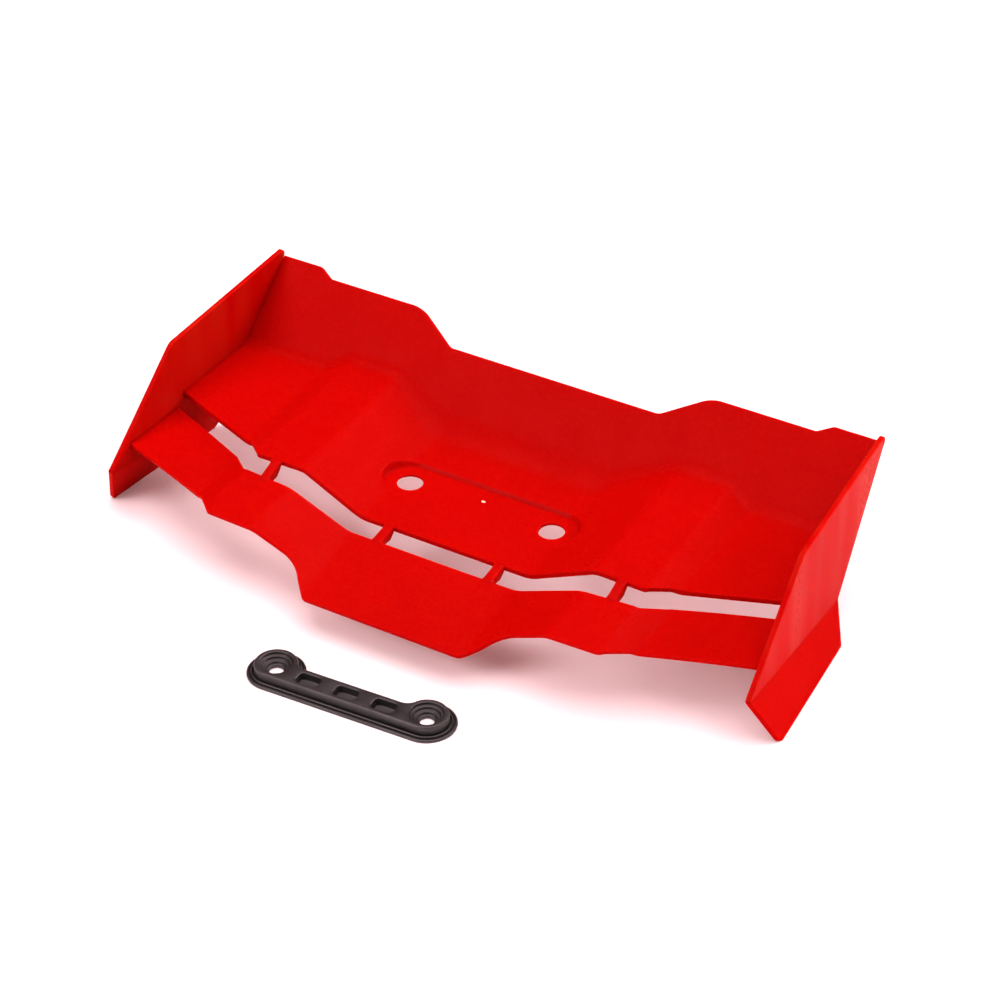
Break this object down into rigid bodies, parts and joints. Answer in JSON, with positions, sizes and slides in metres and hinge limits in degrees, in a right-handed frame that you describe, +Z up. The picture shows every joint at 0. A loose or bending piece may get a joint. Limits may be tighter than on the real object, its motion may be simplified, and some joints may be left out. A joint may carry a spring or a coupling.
{
  "type": "rear wing",
  "caption": "Red moulded rear wing of a radio-controlled racing truggy: slotted blades between end plates with flared fins, and a loose black clamp plate in front.",
  "frame": {"origin": "midway between the two mounting holes, on the seat that takes the clamp plate", "axes": "+X along the span, +Y to the rear, +Z up"},
  "size_m": [0.2358, 0.1407, 0.052],
  "materials": {
    "red_nylon": "satin moulded nylon, finely textured",
    "black_nylon": "satin moulded nylon with glass-fibre grain"
  },
  "bodies": {
    "wing": {"main_plane": "red_nylon", "front_flap": "red_nylon", "slot_rib_inner_right": "red_nylon", "slot_rib_inner_left": "red_nylon", "slot_rib_outer_right": "red_nylon", "slot_rib_outer_left": "red_nylon", "end_plate_right": "red_nylon", "end_plate_left": "red_nylon", "lower_fin_right": "red_nylon", "lower_fin_left": "red_nylon"},
    "clamp_plate": {"clamp_plate": "black_nylon"}
  },
  "joints": [
    {"name": "clamp_plate_lift", "type": "slide", "parent": "wing", "child": "clamp_plate", "axis": [0, 0, 1], "range_m": [0, 0.06]}
  ]
}
